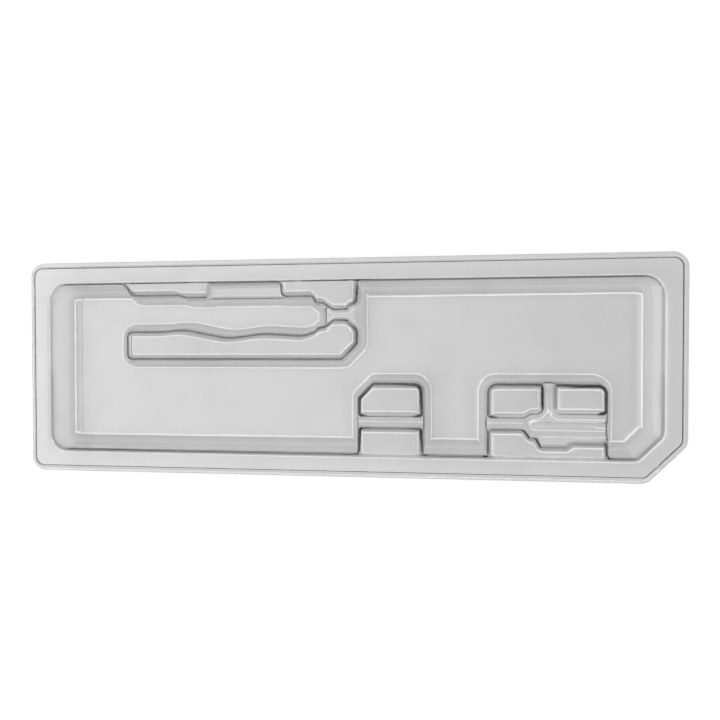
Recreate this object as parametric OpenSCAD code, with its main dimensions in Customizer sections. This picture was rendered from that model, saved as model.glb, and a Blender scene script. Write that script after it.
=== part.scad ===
// Clear inner tray for a presentation box: one thermoformed sheet with a stepped rim, a cut-off
// corner, a nest for a wavy grip with a thin neck, and two blocks with saddles for a rod.

/* [Sheet] */
// Thickness of the plastic sheet
sheet = 0.8; // [0.5:0.1:1.2]

/* [Tray] */
// Length over the lip
tray_l = 450; // [430:1:520]
// Width over the lip
tray_w = 149; // [142:1:180]
// Height from the underside of the floor to the top of the rim
tray_h = 22; // [20:0.5:28]
// Radius of the lip's corners
corner_r = 10; // [6:0.5:14]
// Leg of the cut-off corner, along each side
cut_leg = 25; // [20:1:32]
// Radius at the two ends of the cut-off corner
cut_r = 10; // [6:0.5:14]

/* [Rim] */
// Width of the low outer lip
lip_w = 4; // [3:0.25:5]
// How far the lip lies below the rim
lip_drop = 2; // [1.8:0.1:3]
// Radius of the bends between rim and lip
lip_bend_r = 1; // [0.9:0.05:1.2]
// Slope of the step between rim and lip, from upright
lip_draft = 35; // [20:1:38]
// Width from the step to the edge of the cavity
rim_w = 11.7; // [9:0.1:14]

/* [Cavity] */
// Slope of the cavity's walls, from upright
wall_draft = 12; // [6:1:16]
// Radius where the rim bends down into the cavity
wall_top_r = 4; // [2:0.1:5]
// Radius where the walls meet the floor
wall_foot_r = 8; // [4:0.5:10]
// Radius of the cavity's corners at the rim
cavity_r = 12; // [10:0.5:18]
// Leg of the cavity's cut-off corner
cavity_cut = 15.8; // [12:0.2:20]

/* [Blocks] */
// How far the tops of the raised blocks lie below the rim
block_drop = 1.8; // [1:0.1:3]
// Slope of the blocks' walls, from upright
block_draft = 10; // [5:1:13]
// Radius along the blocks' top edges
block_top_r = 4.5; // [2:0.1:5]
// Radius where the blocks meet the floor
block_foot_r = 4; // [2:0.1:5]
// Radius of the blocks' smaller upright corners
block_corner_r = 3.5; // [2:0.1:4]

/* [Grip nest] */
// From the cavity's left wall to the nest
nest_gap = 57; // [40:1:70]
// Length of the nest
nest_l = 164.5; // [150:0.5:180]
// From the cavity's back wall to the front of the nest
nest_w = 53.4; // [50:0.2:60]
// Leg of the nest's cut-off front corner
nest_cut = 11; // [6:0.5:14]
// From the cavity's back wall to the axis of the grip
grip_y = 22.6; // [22:0.1:25]
// Half the width of the grip's channel at its mouth, to the front
grip_front = 11; // [10:0.2:13]
// Half the width of the grip's channel, to the back
grip_back = 14.4; // [13.5:0.1:15]
// How far the front wall swells and narrows along the grip
grip_wave = 3.2; // [0:0.1:4.5]
// Half the width of the neck between its blocks
neck_half = 3.5; // [3:0.1:4.5]
// Length of the raised neck
neck_l = 19; // [14:0.5:22]
// Length of the finger ledge in the back wall of the nest
ledge_l = 51; // [40:1:60]
// From the nest's left end to the ledge
ledge_gap = 60; // [50:1:64]
// How far the ledge lies below the rim
ledge_drop = 10; // [7:0.5:12]

/* [Rod saddles] */
// From the cavity's front wall to the axis of the rod
rod_y = 21.7; // [20:0.1:24]
// Width of the saddles between the blocks' tops
saddle_w = 9.8; // [8:0.1:11]
// How far the blocks reach from the front wall
saddle_reach = 48.1; // [44:0.1:52]
// From the blocks' tops to the shelf that the saddles are cut into
shelf_drop = 6.2; // [5:0.1:7]

/* [Front block] */
// From the cavity's left wall to the block with the cut corner
front_gap = 221.6; // [216:0.2:230]
// Length of that block
front_l = 44.3; // [36:0.1:50]
// Leg of its cut corner
front_cut = 10; // [6:0.5:13]
// Radius of its other far corner
front_r = 6; // [4:0.5:9]

/* [Rear block] */
// From the cavity's left wall to the long block
rear_gap = 308.7; // [302:0.1:314]
// Length of that block
rear_l = 77.4; // [72:0.1:84]
// Radius of its two far corners
rear_r = 6.5; // [4:0.5:9]
// Length of its narrow saddle
rear_saddle_l = 23; // [18:0.5:28]
// How much wider the wide saddle is, at the back edge
wide_back = 2.8; // [1:0.1:4]
// How much wider the wide saddle is, at the front edge
wide_front = 4.4; // [3:0.1:6]
// From the block's end to the finger groove that crosses it
groove_gap = 35.1; // [32:0.1:38]
// Width of the finger groove
groove_w = 9.2; // [7:0.1:11]
// From the cavity's front wall to the back edge of the low shelf's wall
shelf_w = 5.5; // [4:0.1:7]
// Step in that wall
shelf_step = 2.8; // [1:0.1:4]

/* [Hidden] */

// Steps in a quarter turn of a bend in section
bend_steps = 4;
// Degrees that one step of a rounded corner turns
corner_step = 23;
// Facets round a rod
rod_facets = 24;
// Smallest radius that an offset corner keeps
tip_r = 0.3;
// How far solid forms run on past the sheet, so that one cuts the other cleanly
past = 3;

rim_z = tray_h;
floor_z = sheet;
lip_z = rim_z - lip_drop;
block_z = rim_z - block_drop;
shelf_z = block_z - shelf_drop;
flange = lip_w + rim_w;
wall_x = tray_l / 2 - flange;
wall_y = tray_w / 2 - flange;
// Blocks end inside the cavity's walls, half way across the flange
root_y = wall_y + flange / 2;

nest_x0 = -wall_x + nest_gap;
nest_x1 = nest_x0 + nest_l;
nest_y0 = wall_y - nest_w;
axis_y = wall_y - grip_y;
neck_x1 = nest_x1 - 7.7;
neck_x0 = neck_x1 - 9;
ledge_x0 = nest_x0 + ledge_gap;
ledge_x1 = ledge_x0 + ledge_l;

rod_line = -wall_y + rod_y;
block_y1 = -wall_y + saddle_reach;
front_x0 = -wall_x + front_gap;
front_x1 = front_x0 + front_l;
rear_x0 = -wall_x + rear_gap;
rear_x1 = rear_x0 + rear_l;
wide_x0 = rear_x0 + rear_saddle_l;
groove_x0 = rear_x0 + groove_gap;
groove_x1 = groove_x0 + groove_w;
saddle_y0 = rod_line - saddle_w / 2;
saddle_y1 = rod_line + saddle_w / 2;

// An outline is a list of corners [x, y, radius], anticlockwise seen from above.
tray_outline = [
    [-tray_l / 2, -tray_w / 2, corner_r],
    [tray_l / 2 - cut_leg, -tray_w / 2, cut_r],
    [tray_l / 2, -tray_w / 2 + cut_leg, cut_r],
    [tray_l / 2, tray_w / 2, corner_r],
    [-tray_l / 2, tray_w / 2, corner_r]
];

cavity_outline = [
    [-wall_x, -wall_y, cavity_r],
    [wall_x - cavity_cut, -wall_y, cavity_r / 2],
    [wall_x, -wall_y + cavity_cut, cavity_r / 2],
    [wall_x, wall_y, cavity_r],
    [-wall_x, wall_y, cavity_r]
];

// Front side of the nest: its back edge follows the grip's waves, then steps in to the neck.
nest_front = [
    [nest_x0, nest_y0, block_corner_r],
    [nest_x1 - nest_cut, nest_y0, 5],
    [nest_x1, nest_y0 + nest_cut, 5],
    [nest_x1, axis_y - neck_half - 7, 5],
    [neck_x1, axis_y - neck_half, 4],
    [neck_x0, axis_y - neck_half, 3],
    [neck_x0 - 5, axis_y - neck_half - 4.3, 3],
    [neck_x0 - 11.5, axis_y - neck_half - 5.5, 2],
    [neck_x0 - 13.6, axis_y - neck_half - 8, 2],
    [nest_x0 + 126, axis_y - grip_front - grip_wave, 10],
    [nest_x0 + 98, axis_y - grip_front - grip_wave / 2, 60],
    [nest_x0 + 72, axis_y - grip_front - grip_wave * 3 / 2, 50],
    [nest_x0 + 40, axis_y - grip_front + grip_wave / 2, 50],
    [nest_x0 + 24, axis_y - grip_front, 40],
    [nest_x0, axis_y - grip_front, block_corner_r]
];

// Back side of the nest, left of the finger ledge.
nest_back = [
    [nest_x0 + 1, axis_y + grip_back, 4],
    [nest_x0 + 36, axis_y + grip_back, 6],
    [nest_x0 + 42, axis_y + grip_back - 1.8, 6],
    [ledge_x0, axis_y + grip_back - 1.8, 5],
    [ledge_x0, root_y, tip_r],
    [nest_x0 - 7, root_y, tip_r]
];

finger_ledge = [
    [ledge_x0 - 5, axis_y + grip_back - 2.1, tip_r],
    [ledge_x1 + 5, axis_y + grip_back - 2.1, tip_r],
    [ledge_x1 + 5, root_y, tip_r],
    [ledge_x0 - 5, root_y, tip_r]
];

// Back side of the nest, right of the finger ledge, with the funnel to the neck.
nest_shoulder = [
    [ledge_x1, axis_y + grip_back - 1.6, 4],
    [neck_x0 - 15, axis_y + grip_back - 1.6, 2],
    [neck_x0 - 13, axis_y + neck_half + 4.6, 3],
    [neck_x0 - 7.5, axis_y + neck_half + 4.6, 3],
    [neck_x0, axis_y + neck_half, 3],
    [neck_x1, axis_y + neck_half, 3],
    [neck_x1 + 2.5, axis_y + neck_half + 2.6, 2],
    [nest_x1 - 1.2, axis_y + neck_half + 4.2, 2],
    [nest_x1, axis_y + neck_half + 8, 3],
    [nest_x1, root_y, tip_r],
    [ledge_x1, root_y, tip_r]
];

neck = [
    [nest_x1 - neck_l - 2.7, axis_y - 9, 2],
    [nest_x1 - 2.7, axis_y - 9, 2],
    [nest_x1 - 2.7, axis_y + 9, 2],
    [nest_x1 - neck_l - 2.7, axis_y + 9, 2]
];

front_outline = [
    [front_x0, -root_y, tip_r],
    [front_x1, -root_y, tip_r],
    [front_x1, block_y1, front_r],
    [front_x0 + front_cut, block_y1, 4],
    [front_x0, block_y1 - front_cut, 4]
];

rear_outline = [
    [rear_x0, -root_y, tip_r],
    [rear_x1, -root_y, tip_r],
    [rear_x1, block_y1, rear_r],
    [rear_x0, block_y1, rear_r]
];

// Tops of the front block, on the two sides of its saddle.
front_back_top = [
    [front_x0, saddle_y1, block_corner_r],
    [front_x1, saddle_y1, block_corner_r],
    [front_x1, block_y1 + past, tip_r],
    [front_x0, block_y1 + past, tip_r]
];

front_wall_top = [
    [front_x0, -root_y, tip_r],
    [front_x1, -root_y, tip_r],
    [front_x1, saddle_y0, block_corner_r],
    [front_x0, saddle_y0, block_corner_r]
];

// Tops of the rear block: left and right of the finger groove, and along the wall.
rear_left_top = [
    [rear_x0, saddle_y1, block_corner_r],
    [wide_x0, saddle_y1, 2],
    [wide_x0 + 5, saddle_y1 + wide_back, 2],
    [groove_x0, saddle_y1 + wide_back, block_corner_r],
    [groove_x0, block_y1, block_corner_r],
    [rear_x0, block_y1, tip_r]
];

rear_right_top = [
    [groove_x1, saddle_y1 + wide_back, block_corner_r],
    [rear_x1, saddle_y1 + wide_back, block_corner_r],
    [rear_x1, block_y1, tip_r],
    [groove_x1, block_y1, block_corner_r]
];

rear_wall_top = [
    [rear_x0, -root_y, tip_r],
    [rear_x1, -root_y, tip_r],
    [rear_x1, -wall_y + shelf_w + shelf_step, 3],
    [rear_x0 + 55, -wall_y + shelf_w + shelf_step, 2],
    [rear_x0 + 51, -wall_y + shelf_w, 2],
    [rear_x0 + 34, -wall_y + shelf_w, 2],
    [rear_x0 + 31, saddle_y0 - wide_front - 1, 2],
    [wide_x0 + 4, saddle_y0 - wide_front - 1, 1.5],
    [wide_x0, saddle_y0, 2.5],
    [rear_x0, saddle_y0, block_corner_r]
];

function unit(v) = v / norm(v);

// Directions in which an outline reaches corner i and leaves it.
function way_in(c, i) =
    let (p = c[(i + len(c) - 1) % len(c)]) unit([c[i].x - p.x, c[i].y - p.y]);
function way_out(c, i) =
    let (q = c[(i + 1) % len(c)]) unit([q.x - c[i].x, q.y - c[i].y]);

// The outline moved outwards by d: its outer radii grow, its inner ones shrink.
function grown(c, d) = [
    for (i = [0 : len(c) - 1])
        let (
            a = way_in(c, i),
            b = way_out(c, i),
            move = [a.y + b.y, -a.x - b.x] * d / (1 + a * b)
        )
        [c[i].x + move.x, c[i].y + move.y, max(c[i].z + sign(cross(a, b)) * d, tip_r)]
];

// The outline's points, each corner as an arc that touches its two sides.
function rounded(c) = [
    for (i = [0 : len(c) - 1])
        let (
            a = way_in(c, i),
            b = way_out(c, i),
            turn = atan2(cross(a, b), a * b),
            r = c[i].z,
            start = [c[i].x, c[i].y] - a * r * tan(abs(turn) / 2),
            left = [-a.y, a.x] * sign(turn),
            steps = max(1, ceil(abs(turn) / corner_step))
        )
        for (k = [0 : steps])
            let (q = turn * k / steps)
            start + left * r + r * [
                -left.x * cos(q) + left.y * sin(q),
                -left.x * sin(q) - left.y * cos(q)
            ]
];

function ring(c, d, z) = [for (p = rounded(grown(c, d))) [p.x, p.y, z]];

// Section of a wall from its top to its foot, as [how far out, height]. The bends keep their
// centres through the sheet, so t = 0 gives its upper side and t = sheet its underside.
function section(top, foot, r_top, r_foot, slope, t) = concat(
    [
        for (k = [0 : bend_steps])
            let (q = 90 - (90 - slope) * k / bend_steps)
            [(r_top - t) * cos(q) - r_top * tan(45 - slope / 2), top - r_top + (r_top - t) * sin(q)]
    ],
    [
        for (k = [0 : bend_steps])
            let (
                q = slope + (90 - slope) * k / bend_steps,
                out = (top - foot) * tan(slope) + r_foot * tan(45 - slope / 2)
            )
            [out - (r_foot + t) * cos(q), foot + r_foot - (r_foot + t) * sin(q)]
    ]
);

// A solid through a stack of rings with equally many points, the lowest one first.
module stack(rings) {
    n = len(rings[0]);
    last = len(rings) - 1;
    polyhedron(
        points = [for (r = rings) each r],
        faces = concat(
            [[for (i = [0 : n - 1]) i]],
            [for (k = [0 : last - 1], i = [0 : n - 1])
                [k * n + i, (k + 1) * n + i, (k + 1) * n + (i + 1) % n, k * n + (i + 1) % n]],
            [[for (i = [n - 1 : -1 : 0]) last * n + i]]
        )
    );
}

// A block that stands on the floor, with drafted walls and round edges.
module raised(c, top, foot, r_top, r_foot, slope, t) {
    s = section(top, foot, r_top, r_foot, slope, t);
    n = len(s) - 1;
    stack(concat(
        [ring(c, s[n][0], -past)],
        [for (k = [n : -1 : 0]) ring(c, s[k][0], s[k][1])]
    ));
}

// A hollow sunk from the rim, with the same kind of walls.
module sunk(c, top, foot, r_top, r_foot, slope, t) {
    s = section(top, foot, r_top, r_foot, slope, t);
    n = len(s) - 1;
    stack(concat(
        [for (k = [n : -1 : 0]) ring(c, -s[k][0], s[k][1])],
        [ring(c, -s[0][0], top + past)]
    ));
}

module block(c, t, top = block_z) {
    raised(c, top, floor_z, min(block_top_r, (top - floor_z) / 4), block_foot_r, block_draft, t);
}

// The top of a block, which runs down into the shelf below it.
module top_of_block(c, t) {
    raised(c, block_z, shelf_z - past, block_top_r, 1, block_draft, t);
}

// A trough with a round bottom from point a to point b, w wide and cut down from height z.
module trough(a, b, w, r, z, t) {
    way = unit(b - a);
    side = [-way.y, way.x] * (w / 2 - r);
    hull()
        for (s = [-1, 1])
            translate([a.x, a.y, z] + s * [side.x, side.y, 0])
                rotate([0, 90, atan2(way.y, way.x)])
                    cylinder(r = r + t, h = norm(b - a), $fn = rod_facets);
}

// Everything of a block below its shelf, which its tops stand on.
module below_shelf(c, t) {
    xs = [for (p = c) p.x];
    ys = [for (p = c) p.y];
    margin = tray_h;
    translate([min(xs) - margin, min(ys) - margin, -past])
        cube([
            max(xs) - min(xs) + 2 * margin,
            max(ys) - min(ys) + 2 * margin,
            shelf_z + past - t
        ]);
}

// How far a block's walls have come in at the shelf, from its outline at the top.
shelf_in = shelf_drop * tan(block_draft);

module grip_nest(t) {
    difference() {
        union() {
            block(nest_front, t);
            block(nest_back, t);
            block(nest_shoulder, t);
            block(finger_ledge, t, rim_z - ledge_drop);
            block(neck, t, shelf_z);
        }
        trough(
            [neck_x0 - 20, axis_y], [nest_x1 + 20, axis_y],
            2 * (neck_half - shelf_in), neck_half - shelf_in, shelf_z, t
        );
    }
}

module front_block(t) {
    difference() {
        intersection() {
            block(front_outline, t);
            union() {
                below_shelf(front_outline, t);
                top_of_block(front_back_top, t);
                top_of_block(front_wall_top, t);
            }
        }
        trough(
            [front_x0 - 20, rod_line], [front_x1 + 20, rod_line],
            saddle_w - 2 * shelf_in, saddle_w / 2 - shelf_in, shelf_z, t
        );
    }
}

module rear_block(t) {
    difference() {
        intersection() {
            block(rear_outline, t);
            union() {
                below_shelf(rear_outline, t);
                top_of_block(rear_left_top, t);
                top_of_block(rear_right_top, t);
                top_of_block(rear_wall_top, t);
            }
        }
        // Narrow saddle
        trough(
            [rear_x0 - 20, rod_line], [wide_x0 + 6, rod_line],
            saddle_w - 2 * shelf_in, saddle_w / 2 - shelf_in, shelf_z, t
        );
        // Wide saddle, open at the block's end
        trough(
            [wide_x0 + 4, rod_line + (wide_back - wide_front) / 2],
            [rear_x1 + 20, rod_line + (wide_back - wide_front) / 2],
            saddle_w + wide_back + wide_front - 2 * shelf_in, saddle_w / 2, shelf_z, t
        );
        // Finger groove across the block
        trough(
            [(groove_x0 + groove_x1) / 2, block_y1 + 20],
            [(groove_x0 + groove_x1) / 2, rod_line],
            groove_w - 2 * shelf_in, groove_w / 2 - shelf_in, shelf_z, t
        );
    }
}

// Everything below one side of the sheet, as a solid: t = 0 for the upper side.
module form(t) {
    difference() {
        union() {
            translate([0, 0, -past - t])
                linear_extrude(lip_z + past)
                    polygon(rounded(grown(tray_outline, t)));
            raised(
                grown(tray_outline, -lip_w), rim_z, lip_z, lip_bend_r, lip_bend_r, lip_draft, t
            );
        }
        sunk(cavity_outline, rim_z, floor_z, wall_top_r, wall_foot_r, wall_draft, t);
    }
    grip_nest(t);
    front_block(t);
    rear_block(t);
}

module tray() {
    color("gainsboro", 0.5)
        difference() {
            form(0);
            form(sheet);
        }
}

tray();
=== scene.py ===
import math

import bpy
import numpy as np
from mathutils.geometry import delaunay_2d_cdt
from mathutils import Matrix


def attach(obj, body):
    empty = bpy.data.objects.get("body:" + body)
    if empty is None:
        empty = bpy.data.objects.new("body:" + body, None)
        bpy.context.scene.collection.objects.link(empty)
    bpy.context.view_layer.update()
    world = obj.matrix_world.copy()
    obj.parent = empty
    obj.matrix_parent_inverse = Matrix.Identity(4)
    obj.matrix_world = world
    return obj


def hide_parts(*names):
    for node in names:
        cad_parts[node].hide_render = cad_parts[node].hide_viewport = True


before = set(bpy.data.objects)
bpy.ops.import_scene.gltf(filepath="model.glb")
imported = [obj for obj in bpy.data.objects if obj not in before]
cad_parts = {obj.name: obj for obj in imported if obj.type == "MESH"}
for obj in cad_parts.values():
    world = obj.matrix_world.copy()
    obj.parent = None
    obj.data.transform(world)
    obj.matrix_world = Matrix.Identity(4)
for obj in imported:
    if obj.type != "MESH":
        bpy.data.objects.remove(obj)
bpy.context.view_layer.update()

# %% [markdown]
# # A clear inner tray, thermoformed from one sheet
#
# The part is the clear plastic tray that lies inside a presentation box. A factory warms a sheet of
# PET until it is soft and draws it over a mould with a vacuum. One sheet becomes a stepped rim, a
# cavity, a nest for a wavy grip and two blocks with saddles for a rod.
#
# We follow the factory. First comes the mould, as one number for each place: how high the sheet lies
# there. Then the sheet is laid over it as a mesh, and at last it gets its plastic and its light.
#
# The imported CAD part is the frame. It is loaded above, and its box is kept, because the sheet that
# we make here has to fill the same box.

# %% [markdown]
# ## The sizes of the mould
#
# Moulds are drawn in millimetres, so this lesson works in millimetres and changes to metres at the
# very end. Lengths, heights and outlines are those of the CAD source. Slopes and bends are refined
# here, because the reflections in the photograph show them better than its outlines do. Slopes are
# given from upright: walls lean by six to twelve degrees, so that the cooled sheet comes off the mould.

# %% Sizes of the tray
MM = 0.001
sheet = 0.8
tray_l, tray_w = 450.0, 149.0
rim_z, lip_z, block_z, shelf_z, ledge_z, floor_z = 22.0, 20.0, 20.2, 14.0, 12.0, 0.8
lip_w, lip_bend_r, lip_draft, lip_soft_draft = 4.0, 1.0, math.radians(35), math.radians(50)
wall_draft, wall_top_r, wall_foot_r = math.radians(12), 4.0, 8.0
block_draft, block_top_r, block_foot_r, block_corner_r = math.radians(6), 5.5, 6.0, 3.5
wall_x, wall_y, root_y = 209.3, 58.8, 66.65
print("rim, lip, block tops, shelf, ledge and floor at", rim_z, lip_z, block_z, shelf_z, ledge_z, floor_z)

# %% [markdown]
# ## Outlines
#
# Seen from above, every form on the mould is a polygon with rounded corners. Each corner is written
# as x, y and a radius, anticlockwise. The cutter that makes a mould runs along straight sides and
# round arcs, and that is how an outline is kept here: as sides and arcs.

# %% From corners to sides and arcs
def unit(v):
    """Each row of v, made one long."""
    return v / np.linalg.norm(v, axis=1, keepdims=True)


def outline(corners, grow=0.0):
    """Sides and arcs of a polygon with rounded corners, moved outwards by grow.

    A corner that turns by an angle t with radius r starts r tan(t / 2) before its point. Its arc's
    centre lies r to the side to which the outline turns. Moved outwards, a corner goes along the sum
    of its two sides' normals, and its radius grows where it turns left and shrinks where it turns right.
    """
    c = np.array(corners, float)
    point, r = c[:, :2], c[:, 2:]
    way_in = unit(point - np.roll(point, 1, 0))
    way_out = unit(np.roll(point, -1, 0) - point)
    cross = (way_in[:, 0] * way_out[:, 1] - way_in[:, 1] * way_out[:, 0])[:, None]
    along = (way_in * way_out).sum(1, keepdims=True)
    both = way_in + way_out
    point = point + np.stack([both[:, 1], -both[:, 0]], 1) * grow / (1 + along)
    r = np.maximum(r + np.sign(cross) * grow, 0.3)
    turn = np.arctan2(cross, along)
    cut = r * np.tan(np.abs(turn) / 2)
    centre = point - way_in * cut + np.stack([-way_in[:, 1], way_in[:, 0]], 1) * np.sign(turn) * r
    return {
        "from": point + way_out * cut,
        "to": np.roll(point - way_in * cut, -1, 0),
        "way": way_out,
        "centre": centre,
        "middle": unit(point - centre),
        "radius": r[:, 0],
        "turn": turn[:, 0],
        "low": point.min(0),
        "high": point.max(0),
    }


everywhere, far_off = 500.0, 1000.0


def distance(x, y, line, reach=16.0):
    """How far each place lies outside an outline, below 0 inside it.

    The nearest side or arc decides. To a side it is the distance to the nearest point between its
    ends, to an arc the distance to its centre less its radius. The side on which the place lies gives
    the sign. Places more than reach outside the outline's box aren't worked out: they get far_off.
    """
    found = np.full(x.shape, far_off)
    near = (
        (x > line["low"][0] - reach) & (x < line["high"][0] + reach)
        & (y > line["low"][1] - reach) & (y < line["high"][1] + reach)
    )
    px, py = x[near], y[near]
    best = np.full(px.shape, far_off)
    for a, b, way in zip(line["from"], line["to"], line["way"]):
        length = max(float((b - a) @ way), 0.0)
        along = np.clip((px - a[0]) * way[0] + (py - a[1]) * way[1], 0, length)
        dx = px - a[0] - along * way[0]
        dy = py - a[1] - along * way[1]
        signed = np.copysign(np.hypot(dx, dy), dx * way[1] - dy * way[0])
        best = np.where(np.abs(signed) < np.abs(best), signed, best)
    for c, middle, r, turn in zip(line["centre"], line["middle"], line["radius"], line["turn"]):
        dx = px - c[0]
        dy = py - c[1]
        rho = np.hypot(dx, dy)
        faced = dx * middle[0] + dy * middle[1] >= rho * math.cos(turn / 2)
        signed = np.where(faced, (rho - r) * np.sign(turn), far_off)
        best = np.where(np.abs(signed) < np.abs(best), signed, best)
    found[near] = best
    return found


def stations(line, step, turn_step=math.radians(7)):
    """Points along an outline with their outward normals.

    They lie every step along a side, and every few degrees round an arc.
    """
    places, normals = [], []
    for i in range(len(line["radius"])):
        a, b, way = line["from"][i], line["to"][i], line["way"][i]
        length = float((b - a) @ way)
        if length > 1e-6:
            t = np.linspace(0, 1, max(2, math.ceil(length / step) + 1))[:, None]
            places.append(a + (b - a) * t)
            normals.append(np.repeat([[way[1], -way[0]]], len(t), 0))
        k = (i + 1) % len(line["radius"])
        turn, r = line["turn"][k], line["radius"][k]
        count = max(2, math.ceil(abs(turn) / turn_step), math.ceil(abs(turn) * r / step))
        t = np.arange(1, count) / count - 0.5
        m = line["middle"][k]
        angle = math.atan2(m[1], m[0]) + t * turn
        out = np.stack([np.cos(angle), np.sin(angle)], 1)
        places.append(line["centre"][k] + out * r)
        normals.append(out * np.sign(turn))
    return np.concatenate(places), np.concatenate(normals)


# %% [markdown]
# ## The section of a wall
#
# Cut the sheet across any wall and the same five pieces show: flat, a round bend, a straight
# leaning wall, a second bend, flat. A soft sheet can't follow a sharp edge, so every bend is round.
# The bends also give the clear plastic its look, because each one catches a thin line of light.

# %% Height across a wall
def section(out, top, foot, top_r, foot_r, slope):
    """Height at a distance out from the line where the flat top and the wall would meet.

    The wall falls by 1 / tan(slope). A bend of radius r between flat and wall is a quarter of a
    circle or less, which starts r tan(45 degrees - slope / 2) before the two would meet: its height is
    the flat's, less r, plus the root of r squared less the square of the way into the bend.
    """
    lean, reach, side = np.tan(slope), np.tan(math.pi / 4 - slope / 2), np.cos(slope)
    into_top = np.clip(out + top_r * reach, 0, top_r * side)
    far = (top - foot) * lean + foot_r * reach
    into_foot = np.clip(far - out, 0, foot_r * side)
    upper = top - top_r + np.sqrt(np.maximum(top_r**2 - into_top**2, 0))
    lower = foot + foot_r - np.sqrt(np.maximum(foot_r**2 - into_foot**2, 0))
    wall = top - out / lean
    on_top_bend = out < top_r * reach * np.sin(slope)
    on_foot_bend = out > far - foot_r * side
    return np.where(on_top_bend, upper, np.where(on_foot_bend, lower, wall))


def rows(top, foot, top_r, foot_r, slope, steps=7):
    """Distances at which rows of points lie across a wall: every few degrees round its bends."""
    lean, reach = math.tan(slope), math.tan(math.pi / 4 - slope / 2)
    angle = np.linspace(0, math.pi / 2 - slope, steps + 1)
    far = (top - foot) * lean + foot_r * reach
    upper = -top_r * reach + top_r * np.sin(angle)
    lower = (far - foot_r * np.sin(angle))[::-1]
    wall = np.linspace(upper[-1], lower[0], 4)[1:-1]
    return np.concatenate([upper, wall, lower])


block_rows = rows(block_z, floor_z, block_top_r, block_foot_r, block_draft)
wall_width = round(float(block_rows[-1] - block_rows[0]), 2)
print("a block's wall is", wall_width, "mm wide, with", len(block_rows), "rows")

# %% [markdown]
# ## Joining forms
#
# Where two forms meet, the higher one shows. The sheet bridges the crease between them in a soft
# curve, so the join is a smooth maximum. Where a saddle is cut out of a block, the join is a smooth
# minimum. Both leave flat tops and the flat floor as they are, because there the sheet lies flat.

# %% Smooth joins
def higher(a, b, soft=9.0, top=rim_z):
    """The higher of two forms, with a soft crease between them.

    Where the two differ by less than k, the result is raised by the square of (k - difference) over
    4 k. k is soft half way up the walls and falls to nothing at the floor and at the top.
    """
    low = np.minimum(a, b)
    u = np.clip((low - floor_z) / (top - floor_z), 0, 1)
    k = soft * 4 * u * (1 - u) + 1e-6
    gap = np.maximum(k - np.abs(a - b), 0)
    return np.minimum(np.maximum(a, b) + gap**2 / (4 * k), np.maximum(np.maximum(a, b), top))


def lower(a, b, soft=2.5, top=block_z):
    """The lower of two forms, with a round edge between them, and nothing rounded on the flat tops."""
    high = np.maximum(a, b)
    k = soft * np.clip((top - high) / 3, 0, 1) + 1e-6
    gap = np.maximum(k - np.abs(a - b), 0)
    return np.minimum(a, b) - gap**2 / (4 * k)


def blend(value, start, end):
    """0 before start, 1 after end, and an even S-curve between them."""
    t = np.clip((value - start) / (end - start), 0, 1)
    return t * t * (3 - 2 * t)


# %% [markdown]
# ## Rim and cavity
#
# The outer lip hangs on the edge of the box, one step below a flat rim. Inside the rim the walls of
# the cavity run down to the floor. One corner is cut off, so that the tray fits the box one way
# round only.

# %% Outlines of rim and cavity
tray_corners = [
    [-225, -74.5, 10],
    [200, -74.5, 10],
    [225, -49.5, 10],
    [225, 74.5, 10],
    [-225, 74.5, 10],
]
cavity_corners = [
    [-wall_x, -wall_y, 12],
    [wall_x - 15.8, -wall_y, 6],
    [wall_x, -wall_y + 15.8, 6],
    [wall_x, wall_y, 12],
    [-wall_x, wall_y, 12],
]
back_top_r = 2.5
tray_edge = outline(tray_corners)
step_line = outline(tray_corners, -lip_w)
cavity_edge = outline(cavity_corners)


def rim(x, y):
    """The flat rim, which steps down to the lip all round, least steeply at the left and front."""
    at_left = blend(-x, tray_l / 2 - 12, tray_l / 2 - 6)
    at_front = blend(-y, tray_w / 2 - 12, tray_w / 2 - 6)
    slope = lip_draft + (lip_soft_draft - lip_draft) * np.maximum(at_left, 0.7 * at_front)
    return section(distance(x, y, step_line), rim_z, lip_z, lip_bend_r, lip_bend_r, slope)


def cavity(x, y):
    """The hollow inside the rim, down to the floor. The bend at its top is tighter along the back."""
    top_r = wall_top_r + (back_top_r - wall_top_r) * blend(y, wall_y - 18, wall_y - 8)
    return section(-distance(x, y, cavity_edge, everywhere), rim_z, floor_z, top_r, wall_foot_r, wall_draft)


# %% [markdown]
# ## The nest for the grip
#
# Two long forms hold the wavy grip between them. The front one is an island whose back edge swells
# and narrows with the grip. The back one grows out of the wall and has a low ledge in it, where a
# finger lifts the grip. At the right both close in like a funnel on a thin neck, which has its own
# raised trough.

# %% Outlines of the nest
nest_x0, nest_x1, nest_y0, axis_y = -152.3, 12.2, 5.4, 36.2
neck_x0, neck_x1, ledge_x0, ledge_x1 = -4.5, 4.5, -92.3, -41.3
nest_front = outline([
    [nest_x0, nest_y0, block_corner_r],
    [nest_x1 - 11, nest_y0, 5],
    [nest_x1, nest_y0 + 11, 5],
    [nest_x1, axis_y - 10.5, 5],
    [neck_x1, axis_y - 3.5, 4],
    [neck_x0, axis_y - 3.5, 3],
    [neck_x0 - 5, axis_y - 7.8, 3],
    [neck_x0 - 11.5, axis_y - 9, 2],
    [neck_x0 - 13.6, axis_y - 11.5, 2],
    [nest_x0 + 126, axis_y - 14.2, 10],
    [nest_x0 + 98, axis_y - 12.6, 60],
    [nest_x0 + 72, axis_y - 15.8, 50],
    [nest_x0 + 40, axis_y - 9.4, 50],
    [nest_x0 + 24, axis_y - 11, 40],
    [nest_x0, axis_y - 11, block_corner_r],
])
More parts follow.
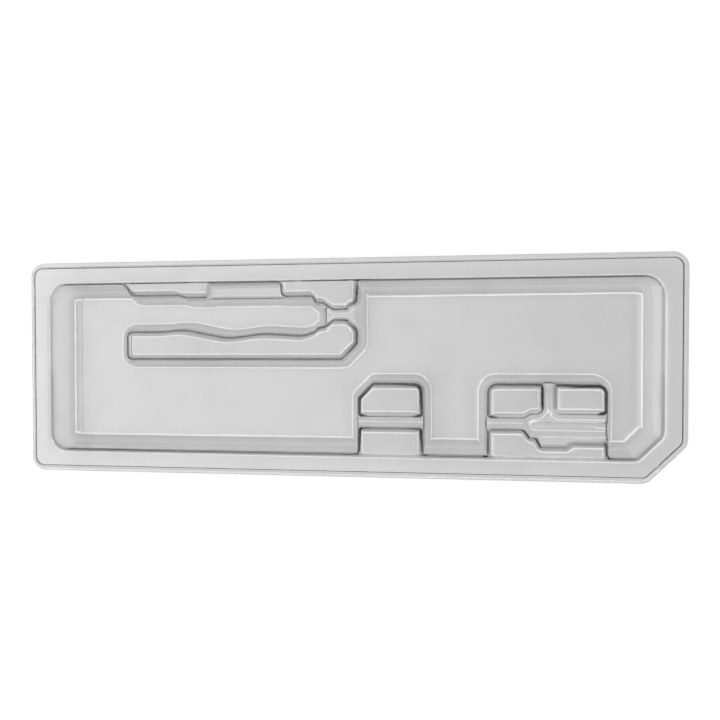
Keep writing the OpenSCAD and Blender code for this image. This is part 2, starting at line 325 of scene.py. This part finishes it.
nest_back = outline([
    [nest_x0 + 1, axis_y + 14.4, 4],
    [nest_x0 + 36, axis_y + 14.4, 6],
    [nest_x0 + 42, axis_y + 12.6, 6],
    [ledge_x0, axis_y + 12.6, 5],
    [ledge_x0, root_y, 0.3],
    [nest_x0 - 7, root_y, 0.3],
])
finger_ledge = outline([
    [ledge_x0 - 5, axis_y + 12.3, 0.3],
    [ledge_x1 + 5, axis_y + 12.3, 0.3],
    [ledge_x1 + 5, root_y, 0.3],
    [ledge_x0 - 5, root_y, 0.3],
])
nest_shoulder = outline([
    [ledge_x1, axis_y + 12.8, 4],
    [neck_x0 - 15, axis_y + 12.8, 2],
    [neck_x0 - 13, axis_y + 8.1, 3],
    [neck_x0 - 7.5, axis_y + 8.1, 3],
    [neck_x0, axis_y + 3.5, 3],
    [neck_x1, axis_y + 3.5, 3],
    [neck_x1 + 2.5, axis_y + 6.1, 2],
    [nest_x1 - 1.2, axis_y + 7.7, 2],
    [nest_x1, axis_y + 11.5, 3],
    [nest_x1, root_y, 0.3],
    [ledge_x1, root_y, 0.3],
])
neck = outline([
    [nest_x1 - 21.7, axis_y - 9, 2],
    [nest_x1 - 2.7, axis_y - 9, 2],
    [nest_x1 - 2.7, axis_y + 9, 2],
    [nest_x1 - 21.7, axis_y + 9, 2],
])
neck_bed_z, neck_bed_r, neck_draft = 11.6, 2.4, math.radians(24)
end_draft = math.radians(29)
ledge_top_r, neck_top_r = 2.8, 3.3


# %% Height of the nest
def block_wall(x, y, line, top=block_z, foot=floor_z, top_r=block_top_r, foot_r=block_foot_r,
               slope=block_draft):
    """A form that stands on foot, with the blocks' slope or its own."""
    return section(distance(x, y, line), top, foot, top_r, foot_r, slope)


def front_slope(x, y):
    """Slope of the front side's walls: the blocks' own, but flatter at the left end.

    Left of the centres of the two end corners, a place lies dx to the left and dy to the side of the
    line between them. Its share of the flatter slope is dx squared over the square of its distance.
    """
    dx = np.minimum(x - nest_x0 - block_corner_r, 0)
    dy = y - np.clip(y, nest_y0 + block_corner_r, axis_y - 11 - block_corner_r)
    share = dx**2 / (dx**2 + dy**2 + 1e-9)
    return block_draft + (end_draft - block_draft) * share


def grip_nest(x, y):
    """Both sides of the nest, the finger ledge, and the neck's trough between the two sides."""
    form = block_wall(x, y, nest_front, slope=front_slope(x, y))
    form = higher(form, block_wall(x, y, nest_back))
    form = higher(form, block_wall(x, y, nest_shoulder))
    form = higher(form, block_wall(x, y, finger_ledge, top=ledge_z, top_r=ledge_top_r))
    banks = np.maximum(
        block_wall(x, y, nest_front, foot=neck_bed_z, foot_r=neck_bed_r),
        block_wall(x, y, nest_shoulder, foot=neck_bed_z, foot_r=neck_bed_r),
    )
    raised = block_wall(x, y, neck, top=shelf_z, top_r=neck_top_r, slope=neck_draft)
    return higher(form, lower(raised, banks))


# %% [markdown]
# ## The two saddle blocks
#
# A rod lies across both blocks, in saddles with round beds. The rear block's saddle grows wider for
# the rod's thick end. A groove crosses it for a finger, and beside the thick end the block's wall
# drops to a low shelf.

# %% Outlines of the blocks
rod_line, block_y1, saddle_y0, saddle_y1 = -37.1, -10.7, -42.0, -32.2
front_x0, front_x1, rear_x0, rear_x1 = 12.3, 56.6, 99.4, 176.8
wide_x0, groove_x0, groove_x1 = 122.4, 134.5, 143.7
front_outline = outline([
    [front_x0, -root_y, 0.3],
    [front_x1, -root_y, 0.3],
    [front_x1, block_y1, 6],
    [front_x0 + 10, block_y1, 4],
    [front_x0, block_y1 - 10, 4],
])
rear_outline = outline([
    [rear_x0, -root_y, 0.3],
    [rear_x1, -root_y, 0.3],
    [rear_x1, block_y1, 6.5],
    [rear_x0, block_y1, 6.5],
])
front_tops = [
    outline([
        [front_x0, saddle_y1, block_corner_r],
        [front_x1, saddle_y1, block_corner_r],
        [front_x1, block_y1 + 3, 0.3],
        [front_x0, block_y1 + 3, 0.3],
    ]),
    outline([
        [front_x0, -root_y, 0.3],
        [front_x1, -root_y, 0.3],
        [front_x1, saddle_y0, block_corner_r],
        [front_x0, saddle_y0, block_corner_r],
    ]),
]
rear_tops = [
    outline([
        [rear_x0, saddle_y1, block_corner_r],
        [wide_x0, saddle_y1, 2],
        [wide_x0 + 5, saddle_y1 + 2.8, 2],
        [groove_x0, saddle_y1 + 2.8, block_corner_r],
        [groove_x0, block_y1, block_corner_r],
        [rear_x0, block_y1, 0.3],
    ]),
    outline([
        [groove_x1, saddle_y1 + 2.8, block_corner_r],
        [rear_x1, saddle_y1 + 2.8, block_corner_r],
        [rear_x1, block_y1, 0.3],
        [groove_x1, block_y1, block_corner_r],
    ]),
    outline([
        [rear_x0, -root_y, 0.3],
        [rear_x1, -root_y, 0.3],
        [rear_x1, -50.5, 3],
        [rear_x0 + 55, -50.5, 2],
        [rear_x0 + 51, -53.3, 2],
        [rear_x0 + 34, -53.3, 2],
        [rear_x0 + 31, saddle_y0 - 5.4, 2],
        [wide_x0 + 4, saddle_y0 - 5.4, 1.5],
        [wide_x0, saddle_y0, 2.5],
        [rear_x0, saddle_y0, block_corner_r],
    ]),
]
low_shelf = outline([
    [rear_x0 + 27, -root_y, 0.3],
    [rear_x1 + 4, -root_y, 0.3],
    [rear_x1 + 4, -45.3, 0.3],
    [rear_x0 + 27, -45.3, 2],
])
narrow_bed, wide_bed, groove_bed = (12.6, 3.0), (11.0, 4.2), (12.0, 3.0)
low_shelf_r, shelf_draft = 3.0, math.radians(40)
saddle_draft = math.radians(25)


# %% Height of the blocks
def front_block(x, y):
    """The block with the cut corner: its outer walls, and the saddle between its two tops."""
    foot, foot_r = narrow_bed
    tops = [block_wall(x, y, t, foot=foot, foot_r=foot_r, slope=saddle_draft) for t in front_tops]
    return lower(block_wall(x, y, front_outline), np.maximum(tops[0], tops[1]))


def rear_block(x, y):
    """The long block. The bed of its saddle deepens at the wide part and rises again in the groove."""
    wide = blend(x, wide_x0 - 1, wide_x0 + 6)
    in_groove = blend(y, saddle_y1 + 1, saddle_y1 + 7)
    step = blend(x, groove_x0 - 8, groove_x0) * blend(y, rod_line - 2.0, rod_line + 1.0)
    foot = narrow_bed[0] + (wide_bed[0] - narrow_bed[0]) * wide + 2.6 * step
    foot = foot + (groove_bed[0] - foot) * in_groove
    foot_r = narrow_bed[1] + (wide_bed[1] - narrow_bed[1]) * wide
    foot_r = foot_r + (groove_bed[1] - foot_r) * in_groove
    tops = [block_wall(x, y, t, foot=foot, foot_r=foot_r, slope=saddle_draft) for t in rear_tops]
    tops = np.maximum(np.maximum(tops[0], tops[1]), tops[2])
    shelf = block_wall(x, y, low_shelf, top=shelf_z, foot=foot, top_r=low_shelf_r, foot_r=foot_r * 0.8,
                       slope=shelf_draft)
    return lower(block_wall(x, y, rear_outline), np.maximum(tops, shelf))


# %% [markdown]
# ## The whole mould
#
# Rim, cavity, nest and blocks together are the mould. A real sheet never lies quite flat on it: it
# cools unevenly and keeps faint waves a few centimetres long. They are only a tenth of a millimetre
# high, but on a glossy sheet each one bends a reflection, so they belong in the shape. The nest
# meets the rim in a crease, which carries the rim's dark line on behind it. The blocks flow into it.

# %% Height of the mould
ripple_height = 0.14


def ripples(x, y):
    """Slow waves between 0 and 1: the mean of sines that cross at different angles and lengths."""
    waves = (
        np.sin(x / 9.1 + 1.7 * np.sin(y / 13.0))
        + np.sin(y / 6.3 + 1.3 * np.sin(x / 17.0 + 1.0))
        + np.sin((x + y) / 11.7 + 2.1)
        + np.sin((x - 1.6 * y) / 15.3 + 0.4)
    )
    return 0.5 + waves / 8


def mould(x, y):
    """Height of the sheet's upper side at each place, in millimetres."""
    form = np.minimum(rim(x, y), cavity(x, y))
    form = higher(form, grip_nest(x, y), top=block_z)
    form = higher(form, front_block(x, y), soft=5.0)
    form = higher(form, rear_block(x, y), soft=5.0)
    share = (form - floor_z) / (rim_z - floor_z)
    return form + ripple_height * ripples(x, y) * (1 - 2 * share)


def slopes(x, y, step=0.04):
    """How steeply the mould rises along x and along y, from its height a short step to each side."""
    rise_x = (mould(x + step, y) - mould(x - step, y)) / (2 * step)
    rise_y = (mould(x, y + step) - mould(x, y - step)) / (2 * step)
    return rise_x, rise_y


probe_x = np.array([-215.0, -100.0, 30.0, 30.0, 150.0, 0.0])
probe_y = np.array([0.0, -20.0, -20.0, -37.1, -37.9, 36.2])
print("rim, floor, block, saddle, wide saddle, neck:", mould(probe_x, probe_y).round(2))

# %% [markdown]
# ## Where the points of the sheet go
#
# A plain grid would need millions of points to follow such small bends. Points along the bends do
# better: each outline is copied inwards and outwards, in rows that lie closest where the section
# bends. Flat places need only a coarse grid for their waves. After that the mesh is tested against
# the mould, and a point is added wherever a triangle's edge leaves it by more than a few hundredths.

# %% Points along the bends
def rings(line, own, distances, step, tolerance=0.5):
    """Rows of points beside an outline, kept where that outline's own form is what shows.

    A row lies at its distance along the outline's normals. Where rows of a tight corner run into each
    other, the true distance differs, and those points go.
    """
    place, normal = stations(line, step)
    grid = place[:, None, :] + normal[:, None, :] * distances[None, :, None]
    x, y = grid[..., 0], grid[..., 1]
    true = np.abs(distance(x, y, line, everywhere) - distances[None, :]) < 0.03
    shows = np.abs(own(x, y) - mould(x, y)) < tolerance
    return grid[true & shows]


def inside(points, line, margin):
    """Which points lie at least margin inside an outline."""
    return distance(points[:, 0], points[:, 1], line, everywhere) < -margin


edge_round = 0.4
edge_line = outline(tray_corners, -edge_round)
edge_step = 3.0
edge_points = stations(edge_line, edge_step)[0]

nest_bed_rows = rows(block_z, neck_bed_z, block_top_r, neck_bed_r, block_draft)
saddle_rows = rows(block_z, narrow_bed[0], block_top_r, narrow_bed[1], saddle_draft)
wide_rows = rows(block_z, wide_bed[0], block_top_r, wide_bed[1], saddle_draft)
shelf_rows = rows(shelf_z, wide_bed[0], low_shelf_r, 3.9, shelf_draft)
ledge_rows = rows(ledge_z, floor_z, ledge_top_r, block_foot_r, block_draft)
neck_rows = rows(shelf_z, floor_z, neck_top_r, block_foot_r, neck_draft)
lip_rows = rows(rim_z, lip_z, lip_bend_r, lip_bend_r, lip_draft, 6)
soft_lip_rows = rows(rim_z, lip_z, lip_bend_r, lip_bend_r, lip_soft_draft, 6)
wall_rows = rows(rim_z, floor_z, wall_top_r, wall_foot_r, wall_draft, 11)
back_rows = rows(rim_z, floor_z, back_top_r, wall_foot_r, wall_draft, 11)

parts = []
for own_rows, at_left in ((lip_rows, False), (soft_lip_rows, True)):
    steps = rings(step_line, rim, own_rows, 3.5)
    parts.append(steps[(steps[:, 0] < -tray_l / 2 + 9) == at_left])
for own_rows, at_back in ((wall_rows, False), (back_rows, True)):
    walls = rings(cavity_edge, cavity, -own_rows, 4.0)
    parts.append(walls[(walls[:, 1] > wall_y - 13) == at_back])
beside_ledge = rings(cavity_edge, cavity, -back_rows, 2.0, 12.0)
beside_ledge = beside_ledge[(beside_ledge[:, 0] > ledge_x0 - 6) & (beside_ledge[:, 0] < ledge_x1 + 6)]
parts.append(beside_ledge[beside_ledge[:, 1] > wall_y - 6])
end_rows = rows(block_z, floor_z, block_top_r, block_foot_r, end_draft)
near_end = rings(nest_front, grip_nest, end_rows, 2.0)
parts.append(near_end[near_end[:, 0] < nest_x0 + 6])
for line in (nest_front, nest_back, nest_shoulder):
    parts.append(rings(line, lambda x, y: block_wall(x, y, line), block_rows, 2.0))
parts.append(rings(finger_ledge, grip_nest, ledge_rows, 2.0))
parts.append(rings(neck, grip_nest, neck_rows, 1.5))
for line in (nest_front, nest_shoulder):
    near_neck = rings(line, grip_nest, nest_bed_rows, 1.0)
    parts.append(near_neck[np.abs(near_neck[:, 0] - (neck_x0 + neck_x1) / 2) < 14])
for line, whole in ((front_outline, front_block), (rear_outline, rear_block)):
    parts.append(rings(line, whole, block_rows, 2.0))
for line in front_tops:
    parts.append(rings(line, front_block, saddle_rows, 2.0))
for line in rear_tops:
    parts.append(rings(line, rear_block, wide_rows, 1.5))
parts.append(rings(low_shelf, rear_block, shelf_rows, 1.5))
bend_points = np.concatenate(parts)
bend_points = bend_points[inside(bend_points, edge_line, 0.3)]
print(len(bend_points), "points along the bends")

# %% Coarse grid on the flats
def thinned(points, cell):
    """The first point of each small square cell."""
    key = np.floor(points / cell).astype(np.int64)
    first = np.unique(key[:, 0] * 1000003 + key[:, 1], return_index=True)[1]
    return points[np.sort(first)]


def away_from(points, others, cell):
    """The points with none of the others in their own square cell or the eight round it."""
    low = np.minimum(points.min(0), others.min(0)) - 2 * cell
    size = np.ceil((np.maximum(points.max(0), others.max(0)) - low) / cell).astype(int) + 3
    taken = np.zeros(size, bool)
    spot = ((others - low) / cell).astype(int)
    for i in (-1, 0, 1):
        for k in (-1, 0, 1):
            taken[spot[:, 0] + i, spot[:, 1] + k] = True
    own = ((points - low) / cell).astype(int)
    return points[~taken[own[:, 0], own[:, 1]]]


flat_step = 4.0
grid_x, grid_y = np.meshgrid(
    np.arange(-tray_l / 2, tray_l / 2, flat_step), np.arange(-tray_w / 2, tray_w / 2, flat_step)
)
flat_points = np.stack([grid_x.ravel(), grid_y.ravel()], 1)
flat_points = flat_points[inside(flat_points, edge_line, 1.0)]
bend_points = thinned(bend_points, 0.09)
flat_points = away_from(flat_points, np.concatenate([bend_points, edge_points]), 1.6)
print(len(flat_points), "points on the flats")

# %% [markdown]
# ## Laying the sheet
#
# Delaunay's rule joins points to the best-shaped triangles there are: no point lies inside the
# circle round another triangle. Blender has it built in. We join, measure, add points and join
# again, as a toolmaker goes over a surface once more with a finer cutter.

# %% Triangles between the points, and finer where they miss the mould
def areas(place, corner):
    """Twice the area of each triangle in the plane, below 0 where its corners run clockwise."""
    a, b, c = place[corner[:, 0]], place[corner[:, 1]], place[corner[:, 2]]
    return (b[:, 0] - a[:, 0]) * (c[:, 1] - a[:, 1]) - (b[:, 1] - a[:, 1]) * (c[:, 0] - a[:, 0])


def joined(points):
    """Triangles between points in the plane, anticlockwise, by Delaunay's rule."""
    laid = delaunay_2d_cdt(points.tolist(), [], [], 0, 1e-7)
    place = np.array([tuple(v) for v in laid[0]])
    corner = np.array([f for f in laid[2] if len(f) == 3])
    area = areas(place, corner)
    corner[area < 0] = corner[area < 0][:, ::-1]
    return place, corner


def misses(place, corner, allowed):
    """Middles of the edges that leave the mould by more than allowed, measured square to the sheet."""
    edges = np.sort(np.concatenate([corner[:, [0, 1]], corner[:, [1, 2]], corner[:, [2, 0]]]), 1)
    edges = np.unique(edges, axis=0)
    ends = place[edges]
    long_enough = np.linalg.norm(ends[:, 1] - ends[:, 0], axis=1) > 0.3
    ends = ends[long_enough]
    middle = ends.mean(1)
    z = mould(ends[..., 0], ends[..., 1]).mean(1)
    rise_x, rise_y = slopes(middle[:, 0], middle[:, 1])
    gap = np.abs(mould(middle[:, 0], middle[:, 1]) - z) / np.sqrt(1 + rise_x**2 + rise_y**2)
    return middle[gap > allowed]


points = np.concatenate([edge_points, bend_points, flat_points])
for allowed in (0.08, 0.05, 0.035):
    place, corner = joined(points)
    extra = thinned(misses(place, corner, allowed), 0.25)
    points = np.concatenate([points, extra])
    print(len(corner), "triangles;", len(extra), "points to add")
place, corner = joined(points)
# Along the slanting side, rounding leaves triangles without width between points of the edge.
on_edge = np.abs(distance(place[:, 0], place[:, 1], edge_line, everywhere)) < 1e-3
sliver = on_edge[corner].all(1) & (areas(place, corner) < 1e-3)
corner = corner[~sliver]
print(len(place), "points and", len(corner), "triangles on the upper side;", sliver.sum(), "slivers left out")

# %% [markdown]
# ## Thickness and edge
#
# The underside follows the upper side at the sheet's thickness, measured square to it. The soft sheet
# touches the tops of the mould first and cools there, so the bends round the tops stay thick. The
# walls and feet are drawn out of what is left, and get thinner. Thick bends are what gives the forms
# their dark outline, so the thickness is set place by place: a share of the sheet for each kind of
# bend, and a little more at a few corners where the photograph shows the line at its broadest.
#
# The outer edge is where the tray was punched out of the sheet. It is slightly round and dull, and it
# gets a mask of its own for that. The same mask darkens the edge's colour to a dark grey: painted
# shade for the dark line that the light draws along the edge.

# %% Upper side, underside and cut edge as one closed mesh
# Shares of the sheet's thickness, and the corners with the broadest lines as x, y and a reach.
thicker_nest, thicker_blocks, thickest, thinned_by = 0.5, 1.0, 0.9, 0.3
thick_places = [
    (12, 22, 9), (12, 48, 7), (165, -12, 14), (177, -22, 10),
    (57, -16, 9), (10, -20, 8), (12, -44, 5), (57, -44, 5),
]
x, y = place[:, 0], place[:, 1]
rise_x, rise_y = slopes(x, y)
normal = unit(np.stack([-rise_x, -rise_y, np.ones_like(x)], 1))
upper = np.stack([x, y, mould(x, y)], 1)
up, height = normal[:, 2], upper[:, 2]
in_cavity = distance(x, y, cavity_edge, everywhere) < 6
upper_edge = blend(height, 14.5, 17) * blend(up, 0.15, 0.32)
top_bends = in_cavity * upper_edge * blend(-up, -0.95, -0.65)
drawn_out = in_cavity * blend(-up, -0.9, -0.2) * (1 - upper_edge)
along_saddle = blend(x, front_x0 + 3, front_x0 + 8) * blend(-x, 3 - front_x1, 8 - front_x1)
along_saddle = along_saddle + blend(x, rear_x0 + 3, rear_x0 + 8) * blend(-x, 3 - rear_x1, 8 - rear_x1)
saddle_side = along_saddle * blend(y, -48, -44) * blend(-y, 25, 29) * blend(-normal[:, 1], -0.1, 0.1)
thicker = thicker_nest + (thicker_blocks - thicker_nest) * blend(-y, 0, 8)
near = sum(np.exp(-((x - px) ** 2 + (y - py) ** 2) / (2 * r**2)) for px, py, r in thick_places)
more = (thicker + thickest * np.minimum(near, 1)) * (1 - saddle_side)
thickness = sheet * (1 + top_bends * more - thinned_by * drawn_out)
under = upper - normal * thickness[:, None]

around, around_normal = stations(edge_line, edge_step)
order = np.array([np.argmin(((place - p) ** 2).sum(1)) for p in around])
# Three rows round the cut edge, each as a share of edge_round outwards and of the sheet downwards.
edge_rows = [(0.7, 0.12), (1.0, 0.5), (0.7, 0.88)]
edge_up = np.concatenate([around_normal, np.zeros((len(around), 1))], 1)
bands, band_normals = [], []
for out, down in edge_rows:
    drop = np.array([0, 0, sheet * down])
    bands.append(upper[order] + edge_up * edge_round * out - drop)
    band_normals.append(unit(edge_up * out + np.array([0, 0, 1 - 2 * down])))
vertices = np.concatenate([upper, under] + bands)
normals = np.concatenate([normal, -normal] + band_normals)

count = len(place)
cut_start = 2 * count
cut_hoops = [cut_start + i * len(around) + np.arange(len(around)) for i in range(len(edge_rows))]
hoops = [order] + cut_hoops + [order + count]
strips = []
for above, below in zip(hoops[:-1], hoops[1:]):
    above_next, below_next = np.roll(above, -1), np.roll(below, -1)
    strips.append(np.stack([above, below, below_next], 1))
    strips.append(np.stack([above, below_next, above_next], 1))
triangles = np.concatenate([corner, corner[:, ::-1] + count] + strips)

mesh = bpy.data.meshes.new("tray_sheet")
mesh.from_pydata((vertices * MM).tolist(), [], triangles.tolist())
mesh.validate()
# The cut edge's mask makes the edge dull, and it also paints shade into the edge's colour.
cut_edge = np.zeros(len(vertices))
cut_edge[cut_start:] = 1
mesh.attributes.new("cut_edge", "FLOAT", "POINT").data.foreach_set("value", cut_edge)
mesh.polygons.foreach_set("use_smooth", np.ones(len(mesh.polygons), bool))
mesh.normals_split_custom_set_from_vertices(normals.tolist())
tray_sheet = bpy.data.objects.new("tray_sheet", mesh)
bpy.context.scene.collection.objects.link(tray_sheet)
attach(tray_sheet, "root")
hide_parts("tray")
print(len(mesh.vertices), "points,", len(mesh.polygons), "triangles; lowest and highest",
      vertices.min(0).round(2), vertices.max(0).round(2))

# %% [markdown]
# ## Clear plastic
#
# PET sheet is clear like glass, with an index of refraction of about 1.65 once it is stretched. It
# swallows a little light on the way through. Straight through the floor that's a third of it, but
# light caught inside a bend runs along the sheet and loses nearly all. So the flats stay pale and
# every outline turns dark, with one constant colour and density.
#
# The film comes off a roll, and the roller leaves faint lines along it, much too fine to model. They
# are a bump. Handling leaves a light haze in patches, and the punched edge is dull. The edge's colour
# is also made dark grey there, as painted shade for the dark line along it. A shadow ray goes
# straight through, so that the paper under the tray stays light, as it does under real clear sheet.

# %% Material of the sheet
def node(tree, kind, inputs=None, **settings):
    """A new node. Each input gets a plain value, or is joined to another node's output."""
    made = tree.nodes.new("ShaderNode" + kind)
    for name, value in settings.items():
        setattr(made, name, value)
    for name, value in (inputs or {}).items():
        if isinstance(value, bpy.types.NodeSocket):
            tree.links.new(value, made.inputs[name])
        else:
            made.inputs[name].default_value = value
    return made


def shader_tree(owner):
    """The node tree of a material or world, with its shader and its output."""
    owner.use_nodes = True
    tree = owner.node_tree
    last = next(n for n in tree.nodes if n.type.startswith("OUTPUT"))
    first = last.inputs["Surface"].links[0].from_node
    return tree, first, last


def ramped(tree, value, start, end, low=0.0, high=1.0):
    """A soft ramp from low to high while value goes from start to end."""
    ranges = {"Value": value, "From Min": start, "From Max": end, "To Min": low, "To Max": high}
    return node(tree, "MapRange", ranges, interpolation_type="SMOOTHSTEP").outputs["Result"]


def maths(tree, operation, *values):
    """Values put together two by two with one operation."""
    result = values[0]
    for value in values[1:]:
        result = node(tree, "Math", {0: result, 1: value}, operation=operation).outputs[0]
    return result


plastic = bpy.data.materials.new("clear_pet")
tree, shader, output = shader_tree(plastic)
shader.inputs["Transmission Weight"].default_value = 1.0
shader.inputs["IOR"].default_value = 1.65

place_on_sheet = node(tree, "TexCoord").outputs["Object"]
along_roll = node(tree, "Mapping", {"Vector": place_on_sheet, "Scale": (5, 240, 60)}).outputs[0]
roll_lines = node(tree, "TexNoise", {"Vector": along_roll, "Scale": 1.0, "Detail": 2.0}).outputs["Fac"]
haze = node(tree, "TexNoise", {"Vector": place_on_sheet, "Scale": 24.0, "Detail": 4.0}).outputs["Fac"]
hazy = ramped(tree, haze, 0.45, 0.75)
bump = node(tree, "Bump", {"Height": roll_lines, "Strength": 1.0, "Distance": 0.0001})
tree.links.new(bump.outputs["Normal"], shader.inputs["Normal"])

dull_and_shaded_edge_mask = node(tree, "Attribute", attribute_name="cut_edge").outputs["Fac"]
dull = maths(tree, "ADD", ramped(tree, hazy, 0, 1, 0.02, 0.07), maths(tree, "MULTIPLY", dull_and_shaded_edge_mask, 0.5))
tree.links.new(dull, shader.inputs["Roughness"])
pale = node(tree, "Mix", {0: hazy, 6: (0.97, 0.97, 0.97, 1), 7: (0.92, 0.92, 0.92, 1)}, data_type="RGBA")
# Painted shade: the cut edge's colour goes to dark grey, standing in for the dark line that light makes
# there.
painted_edge_shade = node(tree, "Mix", {0: dull_and_shaded_edge_mask, 6: pale.outputs[2], 7: (0.25, 0.25, 0.25, 1)}, data_type="RGBA")
tree.links.new(painted_edge_shade.outputs[2], shader.inputs["Base Color"])

smoke = node(tree, "VolumeAbsorption", {"Color": (0.30, 0.30, 0.30, 1), "Density": 690.0})
tree.links.new(smoke.outputs[0], output.inputs["Volume"])
through = node(tree, "BsdfTransparent", {"Color": (0.93, 0.93, 0.93, 1)}).outputs[0]
rays = node(tree, "LightPath").outputs
surface = node(tree, "MixShader", {0: rays["Is Shadow Ray"], 1: shader.outputs[0], 2: through})
tree.links.new(surface.outputs[0], output.inputs["Surface"])
mesh.materials.append(plastic)
print("clear_pet has", len(tree.nodes), "nodes")

# %% [markdown]
# ## White paper
#
# The photograph has a plain white ground. The paper here is a mid grey that takes the tray's soft
# shadow, and it glows just enough to look white. Only rays that come from the camera, from a mirror
# or through glass see the glow, so it puts no extra light on the tray.

# %% Floor
paper_z = -0.0005
floor_mesh = bpy.data.meshes.new("studio_floor")
floor_corners = [(-3, -3), (3, -3), (3, 3), (-3, 3)]
floor_mesh.from_pydata([(fx, fy, paper_z) for fx, fy in floor_corners], [], [(0, 1, 2, 3)])
floor = bpy.data.objects.new("studio_floor", floor_mesh)
bpy.context.scene.collection.objects.link(floor)

paper = bpy.data.materials.new("white_paper")
tree, shader, output = shader_tree(paper)
shader.inputs["Base Color"].default_value = (0.44, 0.44, 0.44, 1)
shader.inputs["Roughness"].default_value = 0.9
rays = node(tree, "LightPath").outputs
seen = maths(tree, "MAXIMUM", rays["Is Camera Ray"], rays["Is Glossy Ray"], rays["Is Transmission Ray"])
glow = node(tree, "Emission", {"Strength": maths(tree, "MULTIPLY", seen, 0.50)}).outputs[0]
both = node(tree, "AddShader", {0: shader.outputs[0], 1: glow})
tree.links.new(both.outputs[0], output.inputs["Surface"])
floor_mesh.materials.append(paper)
print("paper at", paper_z, "m")

# %% [markdown]
# ## Studio light
#
# What we see of clear plastic is mostly what it mirrors. The flats face straight up and mirror the
# sky above the camera, which stays soft: brighter to the left, darker to the right, as in the
# photograph. The bright lines inside the bends are two long lamps behind and in front of the tray,
# and a short one at each end. They stand low enough that no flat part mirrors them.
#
# The whole studio is painted on the sky. A direction's X and Y are its place on that picture seen from
# below, with 0, 0 straight above and 1 at the horizon.

# %% Sky
long_lamps = {"light": 4.0, "y": (0.28, 0.50), "x": (-0.62, 0.50)}
end_lamps = {"light": 4.4, "left": (0.64, 0.76), "right": (0.46, 0.58), "y": 0.22}
overhead, overhead_fall, overhead_x, overhead_y = 0.82, 2.0, (-0.62, 0.45), 0.22
horizon_left, horizon_front, horizon_z = 0.8, 0.4, (0.30, 0.40)
room = 0.04

world = bpy.data.worlds.new("studio")
bpy.context.scene.world = world
tree, background, output = shader_tree(world)
way = node(tree, "SeparateXYZ", {0: node(tree, "TexCoord").outputs["Generated"]}).outputs
to_left = maths(tree, "MULTIPLY", way["X"], -1.0)
to_front = maths(tree, "MULTIPLY", way["Y"], -1.0)
off_axis = node(tree, "Math", {0: way["Y"]}, operation="ABSOLUTE").outputs[0]


def between(value, start, end, soft=0.03):
    """1 from start to end, and 0 a little way outside them."""
    return maths(
        tree, "MULTIPLY", ramped(tree, value, start - soft, start), ramped(tree, value, end, end + soft, 1, 0)
    )


long_light = maths(
    tree, "MULTIPLY",
    between(off_axis, *long_lamps["y"]),
    between(way["X"], *long_lamps["x"], 0.1),
    long_lamps["light"],
)
end_light = maths(
    tree, "MULTIPLY",
    maths(tree, "ADD", between(to_left, *end_lamps["left"]), between(way["X"], *end_lamps["right"])),
    ramped(tree, off_axis, end_lamps["y"], end_lamps["y"] + 0.1, 1, 0),
    end_lamps["light"],
)
leftwards = maths(tree, "ADD", maths(tree, "MULTIPLY", to_left, overhead_fall), overhead)
soft_light = maths(
    tree, "MULTIPLY",
    maths(tree, "MAXIMUM", leftwards, 0.0),
    ramped(tree, off_axis, overhead_y, overhead_y + 0.06, 1, 0),
    between(way["X"], *overhead_x, 0.05),
)
high_up = ramped(tree, way["Z"], *horizon_z)
low_down = ramped(tree, way["Z"], *horizon_z, 1, 0)
low_light = maths(
    tree, "ADD",
    maths(tree, "MULTIPLY", maths(tree, "MAXIMUM", to_left, 0.0), horizon_left),
    maths(tree, "MULTIPLY", maths(tree, "MAXIMUM", to_front, 0.0), horizon_front),
)
sky = maths(
    tree, "ADD",
    maths(tree, "MULTIPLY", high_up, maths(tree, "ADD", long_light, end_light, soft_light)),
    maths(tree, "MULTIPLY", low_down, low_light),
    room,
)
tree.links.new(sky, background.inputs["Strength"])
background.inputs["Color"].default_value = (1, 1, 1, 1)
white = node(tree, "Background", {"Color": (1, 1, 1, 1), "Strength": 1.0}).outputs[0]
seen = node(tree, "LightPath").outputs["Is Camera Ray"]
backdrop = node(tree, "MixShader", {0: seen, 1: background.outputs[0], 2: white})
tree.links.new(backdrop.outputs[0], output.inputs["Surface"])
print("sky has", len(tree.nodes), "nodes")

# %% [markdown]
# ## Camera
#
# The photograph was taken from almost straight above, a little right of the middle and about forty
# centimetres up. Its place came from the corners of the rim and of the floor: they lie at different
# heights, so only one place of the camera fits them all.

# %% Camera
camera_data = bpy.data.cameras.new("camera")
camera_data.lens = 30
camera_data.sensor_width = 36
camera = bpy.data.objects.new("camera", camera_data)
bpy.context.scene.collection.objects.link(camera)
camera.location = (0.0620, 0.0117, 0.4236)
camera.rotation_euler = [math.radians(a) for a in (-0.93, 6.75, -0.07)]
bpy.context.scene.camera = camera
bpy.context.scene.view_settings.view_transform = "Standard"
print("camera at", [round(v, 4) for v in camera.location])
